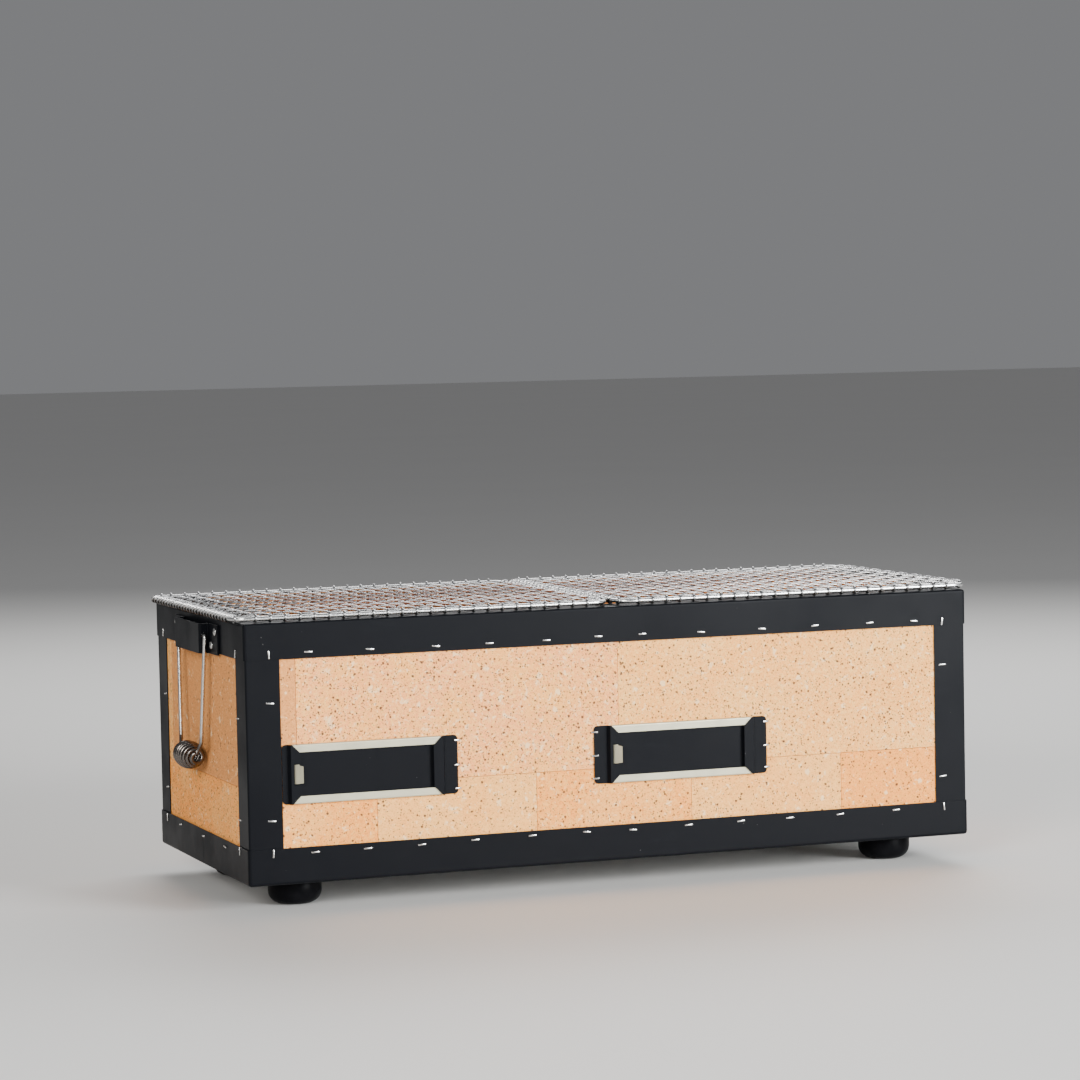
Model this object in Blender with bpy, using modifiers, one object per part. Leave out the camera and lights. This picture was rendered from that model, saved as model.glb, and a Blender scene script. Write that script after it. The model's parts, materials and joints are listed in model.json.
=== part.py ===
"""Table-top hibachi grill: a firebox of diatomite bricks held in stapled sheet-steel
angle, with two sliding air vents, two coil-grip wire handles and two lift-off wire
nets. Metres, +Z up, +X along the length, -Y is the vent side."""

import math

import bmesh
import bpy
from mathutils import Matrix, Vector

MM = 0.001

# Driving dimensions of the cased body
LENGTH = 520 * MM
DEPTH = 228 * MM
CASE_HEIGHT = 171.5 * MM
FOOT_HEIGHT = 19 * MM
GAP = 0.3 * MM  # between pieces that touch

# Sheet-steel casing
SHEET = 0.5 * MM
ANGLE = 24 * MM  # leg of every angle strip
FOLD = 2 * MM  # outside radius of a band's fold
POST_FOLD = 1 * MM  # a corner post's, on the sheet's centre line
BOTTOM_SHEET = 0.8 * MM

# Bricks
WALL = 33 * MM
FLOOR_TOP = 62.5 * MM  # above the casing's underside
FLOOR_BRICK = 111.7 * MM  # a brick's width along the grill
FIRST_FLOOR_BRICK = 88.8 * MM
LONG_SLAB_JOINT = 260 * MM  # from the left end

# Feet
FOOT_RADIUS = 18 * MM
FOOT_INSET_X = 43.6 * MM
FOOT_INSET_Y = 45 * MM
FOOT_ROUND = 9 * MM
FOOT_WELL = 6.5 * MM  # radius of the screw's well
FOOT_WEB = 5 * MM  # rubber left above the well
SCREW_RADIUS = 2 * MM
SCREW_HEAD_RADIUS = 4.4 * MM
SCREW_HEAD = 2.6 * MM
SCREW_HEAD_TIP = 2.6 * MM  # radius of the head's flat
SCREW_TIP = 0.8 * MM  # radius of the point's flat
SCREW_POINT = 4 * MM
SCREW_BITE = 12 * MM  # shank above the bottom plate
SCREW_CLEAR = 0.4 * MM

# Air vents
VENT_CENTRES = (81.9 * MM, 304.8 * MM)  # from the left end
VENT_RISE = 9.5 * MM  # the vents' middle above the floor bricks
VENT_HALF = 63 * MM  # centre to a stop plate's outer edge
VENT_TALL = 19.5 * MM  # half height
VENT_SHEET = 0.6 * MM
RAIL_LIP = 5.1 * MM
RAIL_DEPTH = 2.7 * MM  # how far the rails stand off the brick, less the gap
STOP_FLANGE = 9.4 * MM
STOP_JOGGLE = 1.4 * MM
STOP_REACH = 17.5 * MM  # outer edge to inner edge
STOP_CORNER = 2.5 * MM
STOP_CHAMFER = 6 * MM
STOP_CLEAR = 1 * MM  # a stop plate's fold to the rails' ends
STOP_NOTCH_TALL = 7.2 * MM
STOP_NOTCH_DEEP = 4.9 * MM
DOOR_SHEET = 0.8 * MM
DOOR_OVERLAP = 6.5 * MM  # how far the shut door reaches past the vent's centre
TAB_SHEET = 0.5 * MM
TAB_TALL = 6.3 * MM
TAB_TIP_TALL = 5.5 * MM
TAB_FOOT = 2.8 * MM
TAB_RISE = 4.2 * MM
SLIDE_CLEAR = 0.4 * MM
AIR_HALF_TALL = 13.2 * MM
AIR_WIDTH = 36 * MM
AIR_MARGIN = 10 * MM  # from the air hole to the rails' left ends

# Handles
BRACKET_SHEET = 1.2 * MM
BRACKET_FLANGE = 23.5 * MM
BRACKET_HALF = 31.5 * MM  # centre to a side web
BRACKET_OUT = 7.2 * MM
BRACKET_TALL = 20 * MM
BRACKET_DROP = 5 * MM  # below the casing's top
RIVET_RADIUS = 2.6 * MM
RIVET_HEAD = 1.1 * MM
RIVET_SHANK = 1.5 * MM  # radius
RIVET_CROWN = 1.55 * MM  # radius of the crown's shoulder
RIVET_CROWN_DROP = 0.15 * MM
RIVET_CLEAR = 0.2 * MM
RIVET_TAIL = 0.8 * MM  # past the band's inner face
RIVET_SPOTS = ((18.5 * MM, 15.5 * MM), (9.5 * MM, 6 * MM))  # past the web, above the underside
WIRE = 1.35 * MM  # radius
WIRE_CLEAR = 0.25 * MM
HOOK_LENGTH = 5.4 * MM  # inside the bracket's web
HOOK_BEND = 2 * MM
LEG_BEND = 5 * MM
LEG_CLEAR = 1.7 * MM  # a leg to the web, at the hook
PIVOT_OUT = 4.5 * MM
PIVOT_DROP = 13 * MM  # below the casing's top
GRIP_DROP = 83 * MM  # pivot to the coil's axis
GRIP_HALF = 21.5 * MM
GRIP_MID_RADIUS = 8.2 * MM
GRIP_END_RADIUS = 3 * MM
GRIP_TURNS = 10
GRIP_POINTS = 8  # along each turn
GRIP_CLEAR = 0.6 * MM
LEG_TOE_IN = 8.2 * MM
LEG_FOOT = 10.5 * MM  # coil axis to the start of the leg's last bend

# Cooking nets
NET_PAST_LEFT = 6.5 * MM  # past the casing's left end
NET_PAST_RIGHT = 4 * MM
NET_APART = 4.5 * MM
NET_SET_BACK = 2 * MM  # inside the casing's front and back
NET_RIM = 1.5 * MM  # wire radius
NET_WIRE = 1.2 * MM  # mesh wire, and what the rim stands on
NET_CORNER = 12 * MM
NET_PITCH = 34 * MM  # of the lattice that stands for the weave

# Worked out from the sizes above
BRICK_IN = 2 * (SHEET + GAP)  # casing's outer face to the brick, past band and post
BASE = FOOT_HEIGHT  # casing's underside
TOP = BASE + CASE_HEIGHT
HALF_L = LENGTH / 2
HALF_D = DEPTH / 2
DOOR_FACE = GAP + VENT_SHEET + GAP + DOOR_SHEET  # a door's front, off the brick
TAB_FACE = DOOR_FACE + GAP + TAB_SHEET / 2
VENT_PROUD = TAB_FACE + TAB_RISE + TAB_SHEET / 2 * math.sqrt(0.5) - BRICK_IN
CASE_Y = VENT_PROUD / 2  # centres the whole object's box on Y = 0
FRONT = CASE_Y - HALF_D
BACK = CASE_Y + HALF_D
BRICK_FRONT = FRONT + BRICK_IN
BRICK_BOTTOM = BASE + SHEET + GAP + BOTTOM_SHEET + GAP
FLOOR = BASE + FLOOR_TOP
NET_LENGTH = (LENGTH + NET_PAST_LEFT + NET_PAST_RIGHT - NET_APART) / 2
NET_WIDTH = DEPTH - 2 * NET_SET_BACK
MANY = 100 * MM  # how far a cutter runs past what it cuts

STEEL_BLACK = ((0.016, 0.017, 0.019), 0.42, 0.3)
CREAM_ZINC = ((0.52, 0.50, 0.40), 0.4, 0.7)
BRICK_TAN = ((0.72, 0.46, 0.27), 0.9, 0.0)
WIRE_STEEL = ((0.6, 0.59, 0.57), 0.25, 1.0)
RUBBER_BLACK = ((0.012, 0.012, 0.012), 0.6, 0.0)
PLATE_STEEL = ((0.2, 0.19, 0.18), 0.5, 0.9)

collections = {}
materials = {}


def start_scene():
    """Empties the scene and makes the two collections."""
    for obj in list(bpy.data.objects):
        bpy.data.objects.remove(obj)
    for name in ("Hibachi grill", "Cutters"):
        collections[name] = bpy.data.collections.new(name)
        bpy.context.scene.collection.children.link(collections[name])


def material(name, look):
    """The named Principled material, made once."""
    if name not in materials:
        colour, roughness, metallic = look
        made = bpy.data.materials.new(name)
        made.use_nodes = True
        shader = made.node_tree.nodes["Principled BSDF"]
        shader.inputs["Base Color"].default_value = (*colour, 1)
        shader.inputs["Roughness"].default_value = roughness
        shader.inputs["Metallic"].default_value = metallic
        materials[name] = made
    return materials[name]


def place(name, bm, finish, where=(0, 0, 0), collection="Hibachi grill"):
    """Makes an object of the bmesh, centred on where."""
    bmesh.ops.recalc_face_normals(bm, faces=bm.faces)
    mesh = bpy.data.meshes.new(name)
    bm.to_mesh(mesh)
    bm.free()
    obj = bpy.data.objects.new(name, mesh)
    obj.location = where
    collections[collection].objects.link(obj)
    if finish:
        mesh.materials.append(material(*finish))
    return obj


def box(name, low, high, finish, collection="Hibachi grill"):
    """An upright box between two corners."""
    low, high = Vector(low), Vector(high)
    bm = bmesh.new()
    bmesh.ops.create_cube(bm, size=1, matrix=Matrix.Diagonal((*(high - low), 1)))
    return place(name, bm, finish, (low + high) / 2, collection)


def as_cutter(obj):
    obj.hide_render = True
    obj.display_type = "WIRE"
    return obj


def boolean(obj, other, operation="DIFFERENCE"):
    made = obj.modifiers.new(f"{operation} {other.name}", "BOOLEAN")
    made.operation = operation
    made.object = other


def cut_box(obj, name, low, high, bevel=0.0):
    """Takes a box out of obj."""
    cutter = as_cutter(box(f"{obj.name} {name}", low, high, None, "Cutters"))
    if bevel:
        add_bevel(cutter, bevel)
    boolean(obj, cutter)


def cut_bore(obj, name, centre, axis, radius, length):
    """Takes a round hole out of obj, centred on a point and running along axis."""
    bm = bmesh.new()
    turn = Vector((0, 0, 1)).rotation_difference(Vector(axis)).to_matrix().to_4x4()
    bmesh.ops.create_cone(
        bm, cap_ends=True, segments=16, radius1=radius, radius2=radius, depth=length, matrix=turn
    )
    boolean(obj, as_cutter(place(f"{obj.name} {name}", bm, None, centre, "Cutters")))


def add_bevel(obj, width, segments=3):
    made = obj.modifiers.new("Bevel", "BEVEL")
    made.width = width
    made.segments = segments


def add_thickness(obj, thickness):
    made = obj.modifiers.new("Solidify", "SOLIDIFY")
    made.thickness = thickness
    made.offset = 0
    made.use_even_offset = True


def rounded(points, radii, steps=3):
    """The path with each inner corner turned into a curve of its radius."""
    points = [Vector(p) for p in points]
    made = [points[0]]
    for before, corner, after, radius in zip(points, points[1:], points[2:], radii):
        into = (before - corner).normalized()
        out = (after - corner).normalized()
        half_angle = into.angle(out) / 2
        reach = min(radius / math.tan(half_angle), (before - corner).length * 0.49)
        reach = min(reach, (after - corner).length * 0.49)
        start, end = corner + into * reach, corner + out * reach
        for i in range(steps + 1):
            t = i / steps
            made.append(start.lerp(corner, t).lerp(corner.lerp(end, t), t))
    made.append(points[-1])
    return made


def folded(name, path, across, thickness, finish, where, radius=1 * MM):
    """A folded strip: the path is the sheet's centre line, swept by the vector across."""
    bm = bmesh.new()
    line = rounded(path, [radius] * len(path)) if radius else path
    verts = [bm.verts.new(p) for p in line]
    edges = [bm.edges.new(pair) for pair in zip(verts, verts[1:])]
    swept = bmesh.ops.extrude_edge_only(bm, edges=edges)["geom"]
    moved = [v for v in swept if isinstance(v, bmesh.types.BMVert)]
    bmesh.ops.translate(bm, verts=moved, vec=Vector(across))
    obj = place(name, bm, finish, where)
    add_thickness(obj, thickness)
    return obj


def attach(child, parent):
    """Parents child to parent and leaves it where it is."""
    child.parent = parent
    child.location -= parent.location


def wire_curve(name, points, radius, finish, where, cyclic=False, resolution=2):
    """A round wire along the points."""
    data = bpy.data.curves.new(name, "CURVE")
    data.dimensions = "3D"
    data.bevel_depth = radius
    data.bevel_resolution = resolution
    data.use_fill_caps = not cyclic
    spline = data.splines.new("POLY")
    spline.points.add(len(points) - 1)
    for point, place_at in zip(spline.points, points):
        point.co = (*place_at, 1)
    spline.use_cyclic_u = cyclic
    data.materials.append(material(*finish))
    obj = bpy.data.objects.new(name, data)
    obj.location = where
    collections["Hibachi grill"].objects.link(obj)
    return obj


def turned(name, profile, finish, where, steps=24):
    """A turned solid: the profile of (radius, height) runs down its outer side. One that
    ends where it starts goes round a bore."""
    bm = bmesh.new()
    closed = profile[0] == profile[-1]
    verts = [bm.verts.new((radius, 0, height)) for radius, height in profile[: -1 if closed else None]]
    for pair in zip(verts, verts[1:] + (verts[:1] if closed else [])):
        bm.edges.new(pair)
    mesh = bpy.data.meshes.new(name)
    bm.to_mesh(mesh)
    bm.free()
    obj = bpy.data.objects.new(name, mesh)
    obj.location = where
    collections["Hibachi grill"].objects.link(obj)
    made = obj.modifiers.new("Screw", "SCREW")
    made.angle = 2 * math.pi
    made.steps = made.render_steps = steps
    made.use_merge_vertices = True
    made.merge_threshold = 0.00001
    mesh.materials.append(material(*finish))
    return obj


# --- Bricks ------------------------------------------------------------------------


def floor_bricks():
    """Five bricks laid across the grill, each as deep as the firebox."""
    joints = [FIRST_FLOOR_BRICK + i * FLOOR_BRICK for i in range(4)]
    starts = [BRICK_IN, *(j + GAP / 2 for j in joints)]
    ends = [*(j - GAP / 2 for j in joints), LENGTH - BRICK_IN]
    bricks = []
    for number, (start, end) in enumerate(zip(starts, ends), 1):
        low = (start - HALF_L, BRICK_FRONT, BRICK_BOTTOM)
        high = (end - HALF_L, BACK - BRICK_IN, FLOOR)
        bricks.append(box(f"floor_brick_{number}", low, high, ("brick", BRICK_TAN)))
    bore = SCREW_RADIUS + SCREW_CLEAR
    depth = 2 * (SCREW_BITE + SCREW_CLEAR)
    for number, (x, y) in enumerate(foot_places(), 1):
        hole = (x, y, BRICK_BOTTOM)
        for brick, start, end in zip(bricks, starts, ends):
            if start - bore < x + HALF_L < end + bore:
                cut_bore(brick, f"screw hole {number}", hole, (0, 0, 1), bore, depth)


def wall_slabs():
    """Six slabs on the floor bricks. Each corner butts the next slab, like a pinwheel."""
    left, right = -HALF_L + BRICK_IN, HALF_L - BRICK_IN
    front, back = BRICK_FRONT, BACK - BRICK_IN
    low, high = FLOOR + GAP, TOP - SHEET - GAP
    joint = LONG_SLAB_JOINT - HALF_L
    plan = {
        "end_slab_left": ((left, front), (left + WALL, back - WALL - GAP)),
        "end_slab_right": ((right - WALL, front + WALL + GAP), (right, back)),
        "front_slab_left": ((left + WALL + GAP, front), (joint - GAP / 2, front + WALL)),
        "front_slab_right": ((joint + GAP / 2, front), (right, front + WALL)),
        "back_slab_left": ((left, back - WALL), (-joint - GAP / 2, back)),
        "back_slab_right": ((-joint + GAP / 2, back - WALL), (right - WALL - GAP, back)),
    }
    slabs = {
        name: box(name, (*a, low), (*b, high), ("brick", BRICK_TAN)) for name, (a, b) in plan.items()
    }
    for slab, centre in zip(("front_slab_left", "front_slab_right"), vent_centres()):
        start, end = air_hole(centre)
        cut_box(
            slabs[slab],
            "air way",
            (start, front - MANY, low - MANY),
            (end, front + WALL + MANY, vent_z() + AIR_HALF_TALL),
        )


# --- Casing ------------------------------------------------------------------------


def band(name, front, top):
    """Half of the casing's top or bottom edge: an angle strip round three sides, with its
    flat leg over the bricks' rim. The two halves meet at the middle of each end."""
    low = TOP - ANGLE if top else BASE
    high = TOP if top else BASE + ANGLE
    run = 2 * FOLD
    shell = box(
        name,
        (-HALF_L, FRONT, low - run if top else low),
        (HALF_L, BACK, high if top else high + run),
        ("casing", STEEL_BLACK),
    )
    add_bevel(shell, FOLD)
    cut_box(
        shell,
        "inside",
        (-HALF_L + SHEET, FRONT + SHEET, low - MANY if top else low + SHEET),
        (HALF_L - SHEET, BACK - SHEET, high - SHEET if top else high + MANY),
        FOLD - SHEET,
    )
    cut_box(
        shell,
        "mouth",
        (-HALF_L + ANGLE, FRONT + ANGLE, low - MANY),
        (HALF_L - ANGLE, BACK - ANGLE, high + MANY),
    )
    cut_box(
        shell,
        "edge",
        (-HALF_L - MANY, FRONT - MANY, low - MANY if top else high),
        (HALF_L + MANY, BACK + MANY, low if top else high + MANY),
    )
    cut_box(
        shell,
        "other half",
        (-HALF_L - MANY, CASE_Y - GAP / 2 if front else FRONT - MANY, low - MANY),
        (HALF_L + MANY, BACK + MANY if front else CASE_Y + GAP / 2, high + MANY),
    )


def corner_post(name, side, face_y, inward):
    """An upright angle strip behind the two bands, standing on the bottom plate."""
    inset = SHEET + GAP + SHEET / 2
    reach = ANGLE - inset
    path = ((-side * reach, 0, 0), (0, 0, 0), (0, inward * reach, 0))
    corner = (side * (HALF_L - inset), face_y + inward * inset, BRICK_BOTTOM)
    rise = (0, 0, TOP - FOLD - GAP - BRICK_BOTTOM)  # clear of the top band's fold
    folded(name, path, rise, SHEET, ("casing", STEEL_BLACK), corner, POST_FOLD)


def casing():
    for front, word in ((True, "front"), (False, "back")):
        band(f"top_band_{word}", front, True)
        band(f"bottom_band_{word}", front, False)
        for side, end in ((-1, "left"), (1, "right")):
            face = FRONT if front else BACK
            corner_post(f"corner_post_{word}_{end}", side, face, 1 if front else -1)
    inset = FOLD  # clear of the bottom bands' folds
    plate = box(
        "bottom_plate",
        (-HALF_L + inset, FRONT + inset, BASE + SHEET + GAP),
        (HALF_L - inset, BACK - inset, BASE + SHEET + GAP + BOTTOM_SHEET),
        ("bottom_plate", PLATE_STEEL),
    )
    for number, (x, y) in enumerate(foot_places(), 1):
        hole = (x, y, BASE)
        bore = SCREW_RADIUS + SCREW_CLEAR
        cut_bore(plate, f"hole {number}", hole, (0, 0, 1), bore, 10 * (SHEET + BOTTOM_SHEET))


# --- Feet --------------------------------------------------------------------------


def foot_places():
    """The feet's centres, left to right and front to back."""
    x, y = HALF_L - FOOT_INSET_X, HALF_D - FOOT_INSET_Y
    return [(sx * x, CASE_Y + sy * y) for sx in (-1, 1) for sy in (-1, 1)]


def feet():
    """Round rubber feet, each with a screw in a well in its underside."""
    top = BASE + SHEET  # the feet bear on the bottom plate, inside the bands
    flat = FOOT_RADIUS - FOOT_ROUND
    arc = [math.radians(a) for a in range(0, 91, 18)]
    well_top = top - FOOT_WEB
    bore = SCREW_RADIUS + SCREW_CLEAR
    foot = [(bore, top), (FOOT_RADIUS, top)]
    foot += [(flat + FOOT_ROUND * math.cos(a), FOOT_ROUND * (1 - math.sin(a))) for a in arc]
    foot += [(FOOT_WELL, 0), (FOOT_WELL, well_top), (bore, well_top), (bore, top)]
    head_top = well_top - GAP
    shank_top = top + GAP + BOTTOM_SHEET + SCREW_BITE
    screw = [
        (0, shank_top),
        (SCREW_TIP, shank_top),
        (SCREW_RADIUS, shank_top - SCREW_POINT),
        (SCREW_RADIUS, head_top),
        (SCREW_HEAD_RADIUS, head_top),
        (SCREW_HEAD_RADIUS, head_top - SCREW_HEAD / 2),
        (SCREW_HEAD_TIP, head_top - SCREW_HEAD),
        (0, head_top - SCREW_HEAD),
    ]
    words = ("left_front", "left_back", "right_front", "right_back")
    for word, (x, y) in zip(words, foot_places()):
        turned(f"foot_{word}", foot, ("foot", RUBBER_BLACK), (x, y, 0))
        turned(f"foot_screw_{word}", screw, ("fastener", WIRE_STEEL), (x, y, 0), 12)


# --- Air vents ---------------------------------------------------------------------


def vent_centres():
    return [c - HALF_L for c in VENT_CENTRES]


def vent_z():
    return FLOOR + VENT_RISE


def rail_end():
    """Half length of the rails and the back plate, inside the stops' joggles."""
    return VENT_HALF - STOP_FLANGE - STOP_JOGGLE - STOP_CLEAR


def air_hole(centre):
    """The air hole's two sides along X. The shut door covers it."""
    start = centre - rail_end() + AIR_MARGIN
    return start, start + AIR_WIDTH


def stop_plate(name, centre, side, flange, notched):
    """A black end plate. Its flange is stapled to the brick, and the rest is joggled out
    over the rail ends. It is a flat blank, creased on two lines and stepped outwards."""
    edge = VENT_HALF - STOP_FLANGE + flange
    inner = VENT_HALF - STOP_REACH
    chamfer_at = VENT_TALL - STOP_CHAMFER
    corner = STOP_CORNER
    arc = [math.radians(a) for a in range(0, 91, 30)]
    upper = [(inner, chamfer_at), (inner + STOP_CHAMFER, VENT_TALL)]
    upper += [
        (edge - corner + corner * math.sin(a), VENT_TALL - corner + corner * math.cos(a)) for a in arc
    ]
    outline = upper + [(u, -z) for u, z in reversed(upper)]
    if notched:
        outline += [
            (inner, -STOP_NOTCH_TALL),
            (inner + STOP_NOTCH_DEEP, -STOP_NOTCH_TALL),
            (inner + STOP_NOTCH_DEEP, STOP_NOTCH_TALL),
            (inner, STOP_NOTCH_TALL),
        ]
    bm = bmesh.new()
    bm.faces.new([bm.verts.new((u, 0, z)) for u, z in outline])
    creases = (VENT_HALF - STOP_FLANGE, VENT_HALF - STOP_FLANGE - STOP_JOGGLE)
    for crease in creases:
        bmesh.ops.bisect_plane(
            bm, geom=bm.verts[:] + bm.edges[:] + bm.faces[:], plane_co=(crease, 0, 0), plane_no=(1, 0, 0)
        )
    low = GAP + VENT_SHEET / 2
    high = GAP + RAIL_DEPTH + GAP + VENT_SHEET / 2
    for vert in bm.verts:
        raised = (creases[0] - vert.co.x) / STOP_JOGGLE
        vert.co.y = -(low + (high - low) * min(1, max(0, raised)))
        vert.co.x *= side
    obj = place(name, bm, ("vent_black", STEEL_BLACK), (centre, BRICK_FRONT, vent_z()))
    add_thickness(obj, VENT_SHEET)


def vent(word, centre, left_flange):
    """One sliding air vent on the front wall."""
    end = rail_end()
    z = vent_z()
    web = VENT_TALL - VENT_SHEET / 2
    lip = VENT_TALL - RAIL_LIP
    lip_out = -RAIL_DEPTH + VENT_SHEET / 2
    for up, half in ((1, "upper"), (-1, "lower")):
        path = ((0, 0, up * web), (0, lip_out, up * web), (0, lip_out, up * lip))
        name = f"vent_{word}_{half}_rail"
        start = (centre - end, BRICK_FRONT - GAP, z)
        look = ("vent_rail", CREAM_ZINC)
        folded(name, path, (2 * end, 0, 0), VENT_SHEET, look, start, VENT_SHEET)
    plate_tall = VENT_TALL - VENT_SHEET - GAP
    plate = box(
        f"vent_{word}_back_plate",
        (centre - end, BRICK_FRONT - GAP - VENT_SHEET, z - plate_tall),
        (centre + end, BRICK_FRONT - GAP, z + plate_tall),
        ("vent_black", STEEL_BLACK),
    )
    start, stop = air_hole(centre)
    cut_box(
        plate,
        "air hole",
        (start, BRICK_FRONT - MANY, FLOOR + GAP),
        (stop, BRICK_FRONT + MANY, z + AIR_HALF_TALL),
    )
    stop_plate(f"vent_{word}_left_stop", centre, -1, left_flange, True)
    stop_plate(f"vent_{word}_right_stop", centre, 1, STOP_FLANGE, False)
    door_left = centre - end + SLIDE_CLEAR
    door_tall = plate_tall - SLIDE_CLEAR / 2
    door = box(
        f"vent_{word}_door",
        (door_left, BRICK_FRONT - DOOR_FACE, z - door_tall),
        (centre + DOOR_OVERLAP, BRICK_FRONT - DOOR_FACE + DOOR_SHEET, z + door_tall),
        ("vent_black", STEEL_BLACK),
    )
    attach(vent_tab(f"vent_{word}_tab", door_left, z), door)


def vent_tab(name, door_left, z):
    """The finger tab at the door's left end: a foot on the door and a leaf folded back,
    which narrows towards its tip."""
    path = ((TAB_FOOT, 0, 0), (0, 0, 0), (TAB_RISE, -TAB_RISE, 0))
    heel = (door_left + 3 * TAB_SHEET, BRICK_FRONT - TAB_FACE, z - TAB_TALL)
    tall = 2 * TAB_TALL
    tab = folded(name, path, (0, 0, tall), TAB_SHEET, ("vent_rail", CREAM_ZINC), heel, 0)
    for vert in tab.data.vertices:
        if vert.co.y < -TAB_RISE / 2:
            vert.co.z += (TAB_TALL - TAB_TIP_TALL) * (1 if vert.co.z < TAB_TALL else -1)
    return tab


def vents():
    left, right = vent_centres()
    post_edge = -HALF_L + ANGLE + GAP
    room = (left - VENT_HALF + STOP_FLANGE) - post_edge
    vent("left", left, min(STOP_FLANGE, room))
    vent("right", right, STOP_FLANGE)


# --- Handles -----------------------------------------------------------------------


def end_point(side, out, across, z):
    """A point by its distance out from an end of the casing and across from its middle."""
    return Vector((side * (HALF_L + out), CASE_Y + across, z))


def grip_out():
    """The coil's axis: its widest turn just clears the brick."""
    return GRIP_MID_RADIUS + WIRE + GRIP_CLEAR - BRICK_IN


def handle_path():
    """One end's wire, seen from its pivot: a hook in each web, two legs that toe in, and
    a barrel-shaped coil. Points are out from the casing, across it, and up."""
    leg = BRACKET_HALF + BRACKET_SHEET / 2 + LEG_CLEAR + WIRE
    grip = grip_out() - PIVOT_OUT
    knee_drop = GRIP_DROP - LEG_FOOT
    down = [
        (0, -BRACKET_HALF + HOOK_LENGTH, 0),
        (0, -leg, 0),
        (grip / 2, -leg + LEG_TOE_IN, -knee_drop),
        (grip, -GRIP_HALF, -GRIP_DROP + GRIP_END_RADIUS),
    ]
    lead_in = rounded(down, (HOOK_BEND, LEG_BEND))[:-1]
    coil = []
    count = GRIP_TURNS * GRIP_POINTS
    for i in range(count + 1):
        share = 2 * i / count - 1
        radius = GRIP_END_RADIUS + (GRIP_MID_RADIUS - GRIP_END_RADIUS) * (1 - share**2)
        angle = 2 * math.pi * i / GRIP_POINTS
        out = grip + radius * math.sin(angle)
        coil.append(Vector((out, share * GRIP_HALF, -GRIP_DROP + radius * math.cos(angle))))
    return [*lead_in, *coil, *(Vector((p.x, -p.y, p.z)) for p in reversed(lead_in))]


def bracket(side, word):
    """A hat-shaped steel bracket riveted to the top band, with a wire hole in each web."""
    foot = GAP + BRACKET_SHEET / 2
    flange = BRACKET_HALF + BRACKET_FLANGE
    half = [(foot, flange), (foot, BRACKET_HALF), (BRACKET_OUT, BRACKET_HALF)]
    path = [(side * out, -across, 0) for out, across in half]
    path += [(side * out, across, 0) for out, across in reversed(half)]
    low = end_point(side, 0, 0, TOP - BRACKET_DROP - BRACKET_TALL)
    look = ("bracket", STEEL_BLACK)
    obj = folded(f"handle_bracket_{word}", path, (0, 0, BRACKET_TALL), BRACKET_SHEET, look, low)
    pivot = end_point(side, PIVOT_OUT, 0, TOP - PIVOT_DROP)
    cut_bore(obj, "wire holes", pivot, (0, 1, 0), WIRE + WIRE_CLEAR, 2 * BRACKET_HALF + 4 * WIRE)
    face = GAP + BRACKET_SHEET + GAP
    tail = -face - SHEET - RIVET_TAIL
    profile = [
        (0, RIVET_HEAD),
        (RIVET_CROWN, RIVET_HEAD - RIVET_CROWN_DROP),
        (RIVET_RADIUS, 0),
        (RIVET_SHANK, 0),
        (RIVET_SHANK, tail),
        (0, tail),
    ]
    reach = 2 * (RIVET_TAIL - tail)
    spots = [(across, spot) for across in (-1, 1) for spot in RIVET_SPOTS]
    for number, (across, (past_web, above)) in enumerate(spots, 1):
        where = low + Vector((side * face, across * (BRACKET_HALF + past_web), above))
        look = ("fastener", WIRE_STEEL)
        rivet = turned(f"rivet_{word}_{number}", profile, look, where, 12)
        rivet.rotation_euler = (0, side * math.pi / 2, 0)
        band_name = "top_band_front" if across < 0 else "top_band_back"
        for plate in (obj, bpy.data.objects[band_name]):
            hole = f"rivet hole {word} {number}"
            cut_bore(plate, hole, where, (1, 0, 0), RIVET_SHANK + RIVET_CLEAR, reach)


def handles():
    for side, word in ((-1, "left"), (1, "right")):
        bracket(side, word)
        points = [Vector((side * p.x, p.y, p.z)) for p in handle_path()]
        pivot = end_point(side, PIVOT_OUT, 0, TOP - PIVOT_DROP)
        look = ("handle_wire", WIRE_STEEL)
        wire_curve(f"handle_{word}", points, WIRE, look, pivot, resolution=1)


# --- Nets --------------------------------------------------------------------------


def round_corners(half_l, half_w, radius):
    """A round-cornered outline about the origin."""
    corners = ((-half_l, 0), (-half_l, -half_w), (half_l, -half_w), (half_l, half_w))
    corners += ((-half_l, half_w), (-half_l, 0))
    return rounded([(x, y, 0) for x, y in corners], [radius] * 4)[:-1]


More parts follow.
